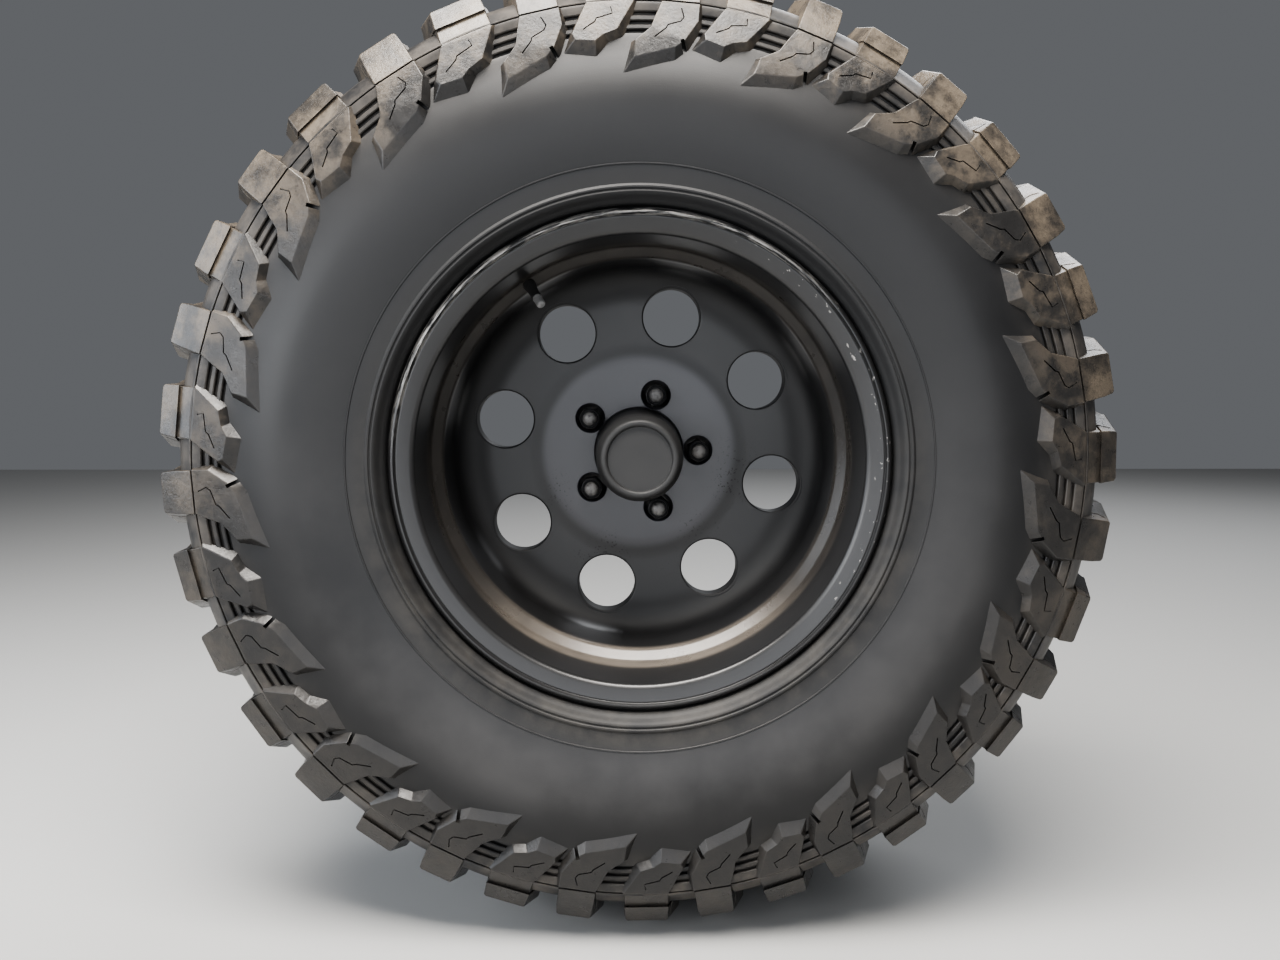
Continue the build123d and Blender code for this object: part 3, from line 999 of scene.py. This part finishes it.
# the wheel: satin black, with a painted reflection of the front light on the hub pad, dust on the
# ledge that is painted lighter at the bottom as a painted highlight, and a scraped lip
wheelFinish = {
    "specular": 0.62,
    "dark": (0.010, 0.010, 0.0105),
    "light": (0.017, 0.017, 0.0175),
    "clouds": (22, 5, 0.6),
    # the hub pad painted a lighter bluish grey: painted reflection of the front light
    "paintedPadSheen": {
        "color": (0.044, 0.044, 0.050), "radius": (0.097, 0.088),
        "along": (-0.028, -0.016, 0.002), "share": 0.85,
    },
    "specks": {
        "color": (0.004, 0.004, 0.004), "noise": (420, 2, 0.5), "size": (0.60, 0.66),
        "patches": (0.42, 0.6), "patchNoise": (14, 3), "radius": (0.078, 0.128, 0.014),
        "along": (-0.030, -0.018, 0.001), "height": (0.03, -0.03), "share": 0.9, "dull": 0.3,
    },
    # dust on the ledge, painted strongest at the bottom where the overhead light glints: dust with
    # a painted highlight
    "ledge": {
        "color": (0.135, 0.118, 0.100), "radius": (0.1745, 0.1765),
        "along": (-0.124, -0.092, 0.006), "height": (-0.10, -0.180), "least": 0.2,
        "patches": (-0.2, 0.7), "patchNoise": (30, 4), "dull": -0.05,
    },
    "scrapes": {
        "radius": (0.2008, 0.2066, 0.0008), "along": (-0.176, -0.1805),
        "clock": (-1.35, 0.75, 0.2), "streaks": (700, 9), "size": (0.46, 0.56), "share": 0.85,
    },
    "chips": {
        "radius": (0.1935, 0.2076, 0.001), "along": (-0.174, -0.179),
        "clock": (0.5, 2.2, 0.15), "streaks": (260, 24), "size": (0.655, 0.67),
    },
    "bare": {"color": (0.30, 0.29, 0.275), "metallic": 0.7},
    "sheen": ((0.2, 0.30), (0.8, 0.36)),  # roughness over the clouds
    "disc": {"along": (-0.045, -0.03), "radius": (0.088, 0.098), "dull": 0.11},
    "discEdge": {"radius": (0.146, 0.172, 0.008), "dull": 0.24},
    "grain": (1500, 2, 0.5),
    "bump": (0.07, 0.0002),
}
paint, shader = newMaterial(
    "satinPaint", (0.03, 0.03, 0.031), 0.4, specular=wheelFinish["specular"],
)
around = axleRadius(paint)
clock = clockAngle(paint)
along = axes(paint)["Y"]
upwards = axes(paint)["Z"]
cloudy = noise(paint, *wheelFinish["clouds"])

speck = wheelFinish["specks"]
specks = product(
    paint, between(paint, noise(paint, *speck["noise"]), speck["size"]),
    between(paint, noise(paint, *speck["patchNoise"]), speck["patches"]),
    within(paint, around, speck["radius"]), within(paint, along, speck["along"]),
    between(paint, upwards, speck["height"]),
)
# painted reflection of the front light on the hub pad
paintedPadSheen = wheelFinish["paintedPadSheen"]
padSheenShare = product(
    paint, between(paint, around, paintedPadSheen["radius"]), within(paint, along, paintedPadSheen["along"]),
    paintedPadSheen["share"],
)
ledge = wheelFinish["ledge"]
onLedge = product(
    paint, within(paint, along, ledge["along"]), between(paint, around, ledge["radius"]),
)
# 0.2 at the top up to 1 at the bottom: painted highlight on the ledge's lower part
paintedHighlightBelow = total(
    paint, product(paint, between(paint, upwards, ledge["height"]), 1 - ledge["least"]),
    ledge["least"],
)
ledgePatches = between(paint, noise(paint, *ledge["patchNoise"]), ledge["patches"])
ledgeDustAndHighlight = product(paint, onLedge, paintedHighlightBelow, ledgePatches)
scrape = wheelFinish["scrapes"]
scrapes = product(
    paint, within(paint, around, scrape["radius"]), between(paint, along, scrape["along"]),
    within(paint, clock, scrape["clock"]),
    between(paint, streaks(paint, *scrape["streaks"]), scrape["size"]), scrape["share"],
)
chip = wheelFinish["chips"]
chips = product(
    paint, between(paint, along, chip["along"]), within(paint, around, chip["radius"]),
    within(paint, clock, chip["clock"]),
    between(paint, streaks(paint, *chip["streaks"]), chip["size"]),
)
bare = calculate(paint, "MAXIMUM", scrapes, chips)
tone = layered(
    paint, mixColor(paint, cloudy, wheelFinish["dark"], wheelFinish["light"]),
    (padSheenShare, paintedPadSheen["color"]), (product(paint, specks, speck["share"]), speck["color"]),
    (ledgeDustAndHighlight, ledge["color"]), (bare, wheelFinish["bare"]["color"]),
)
link(paint, tone, shader.inputs["Base Color"])
link(paint, product(paint, bare, wheelFinish["bare"]["metallic"]), shader.inputs["Metallic"])
disc, discEdge = wheelFinish["disc"], wheelFinish["discEdge"]
onDisc = between(paint, along, disc["along"])
roughness = total(
    paint, levels(paint, cloudy, *wheelFinish["sheen"]),
    product(paint, between(paint, around, disc["radius"]), onDisc, disc["dull"]),
    product(paint, within(paint, around, discEdge["radius"]), onDisc, discEdge["dull"]),
    product(paint, onLedge, ledge["dull"]), product(paint, specks, speck["dull"]),
)
link(paint, roughness, shader.inputs["Roughness"])
bump(paint, shader, noise(paint, *wheelFinish["grain"]), *wheelFinish["bump"])

# the small parts: two tones over a noise and a fine grain each
smallFinishes = {
    "capPlastic": {
        "color": (0.025, 0.025, 0.026), "roughness": 0.5, "specular": 0.35,
        "tones": ((0.020, 0.020, 0.0205), (0.030, 0.030, 0.030)), "clouds": (40, 4),
        "matt": ((0.2, 0.46), (0.8, 0.56)), "grain": (1800, 2, 0.5), "bump": (0.10, 0.0002),
    },
    "nutBlack": {
        "color": (0.014, 0.014, 0.014), "roughness": 0.46, "metallic": 0.2,
        "tones": ((0.013, 0.013, 0.014), (0.16, 0.155, 0.15)), "clouds": (260, 4),
        "tip": (-0.0385, -0.0415), "worn": (0.2, 0.6), "grain": (900, 3), "bump": (0.12, 0.0002),
    },
    "stemRubber": {
        "color": (0.014, 0.014, 0.014), "roughness": 0.5,
        "tones": ((0.010, 0.010, 0.010), (0.03, 0.03, 0.03)), "clouds": (180, 4),
        "grain": (1400, 3), "bump": (0.12, 0.0002),
    },
    "valvePlastic": {
        "color": (0.20, 0.20, 0.20), "roughness": 0.45,
        "tones": ((0.10, 0.10, 0.10), (0.26, 0.26, 0.255)), "clouds": (300, 4),
        "grain": (1200, 3), "bump": (0.10, 0.0002),
    },
}


def smallFinish(name):
    look = smallFinishes[name]
    material, shader = newMaterial(
        name, look["color"], look["roughness"], look.get("metallic", 0.0),
        look.get("specular", 0.5),
    )
    clouds = noise(material, *look["clouds"])
    share = clouds
    if "tip" in look:  # the second, lighter tone shows only on the tip, in patches
        tip = between(material, axes(material)["Y"], look["tip"])
        share = product(material, tip, between(material, clouds, look["worn"]))
    link(material, mixColor(material, share, *look["tones"]), shader.inputs["Base Color"])
    if "matt" in look:
        link(material, levels(material, clouds, *look["matt"]), shader.inputs["Roughness"])
    bump(material, shader, noise(material, *look["grain"]), *look["bump"])
    return material


capFinish = smallFinish("capPlastic")
nutFinish = smallFinish("nutBlack")
stemFinish = smallFinish("stemRubber")
valveCapFinish = smallFinish("valvePlastic")


def addPart(piece, material, node=None):
    piece.data.materials.clear()
    piece.data.materials.append(material)
    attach(piece, "root")
    if node:
        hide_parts(node)


addPart(casingPiece, rubber, "tyre")
for piece in treadPieces:
    addPart(piece, lugRubber)
addPart(wheelPiece, paint, "cast_wheel")
addPart(capPiece, capFinish, "centre_cap")
for number, nut in enumerate(nuts, start=1):
    addPart(nut, nutFinish, f"lug_nut_{number}")
addPart(stemPiece, stemFinish, "valve_stem")
addPart(capTip, valveCapFinish, "valve_cap")
print("finishes on")

# floor, light and camera
studio = {
    "floorSize": 8,
    "floorBack": 0.8,  # how far behind the wheel the floor's middle is
    "floorColor": (0.38, 0.38, 0.375),
    "floorRoughness": 0.75,
    "skyColor": (0.82, 0.85, 0.90),
    "skyStrength": 0.16,
    "look": "AgX - Medium High Contrast",
}
lamps = {
    "overhead": {
        "at": (-0.2, -0.72, 1.5), "to": (0, -0.15, 0.1), "size": (1.5, 0.8), "power": 118,
        "color": (1.0, 0.96, 0.91),
    },
    "left": {
        "at": (-2.0, -0.45, 0.5), "to": (0, -0.1, 0.1), "size": (1.3, 1.3), "power": 28,
        "color": (0.86, 0.92, 1.0),
    },
    "corner": {
        "at": (-1.5, -1.8, 0.4), "to": (0, 0, 0), "size": (0.9, 0.9), "power": 24,
        "color": (0.95, 0.97, 1.0),
    },
    "back": {
        "at": (1.5, 2.4, 2.7), "to": (0, 0, 0), "size": (2.6, 1.9), "power": 88,
        "color": (0.95, 0.97, 1.0),
    },
    "front": {
        "at": (0, -2.6, 0.26), "to": (0, 0, 0.2), "size": (2.4, 1.3), "power": 26,
        "color": (0.92, 0.95, 1.0),
    },
}
view = {"at": (-0.008, -1.02815, 0.065), "down": 5.27, "right": 0.52, "lens": 29.14, "sensor": 36}

floorFinish, shader = newMaterial("paleFloor", studio["floorColor"], studio["floorRoughness"])
clearSelection()
floorMiddle = (0, studio["floorBack"], cadBox[0][2])
bpy.ops.mesh.primitive_plane_add(size=studio["floorSize"], location=floorMiddle)
floor = bpy.context.object
floor.name = "studioFloor"
floor.data.materials.append(floorFinish)

world = bpy.data.worlds.new("studio")
bpy.context.scene.world = world
world.use_nodes = True
sky = world.node_tree.nodes["Background"]
sky.inputs["Color"].default_value = (*studio["skyColor"], 1)
sky.inputs["Strength"].default_value = studio["skyStrength"]
bpy.context.scene.view_settings.look = studio["look"]

for name, lamp in lamps.items():
    bpy.ops.object.light_add(type="AREA", location=lamp["at"])
    light = bpy.context.object
    light.name = name + "Lamp"
    light.data.shape = "RECTANGLE"
    light.data.size, light.data.size_y = lamp["size"]
    light.data.energy = lamp["power"]
    light.data.color = lamp["color"]
    way = Vector(lamp["to"]) - Vector(lamp["at"])
    light.rotation_euler = way.to_track_quat("-Z", "Y").to_euler()

bpy.ops.object.camera_add(
    location=view["at"], rotation=(radians(90 - view["down"]), 0, radians(-view["right"])),
)
camera = bpy.context.object
camera.data.lens = view["lens"]
camera.data.sensor_width = view["sensor"]
bpy.context.scene.camera = camera
print("studio set")
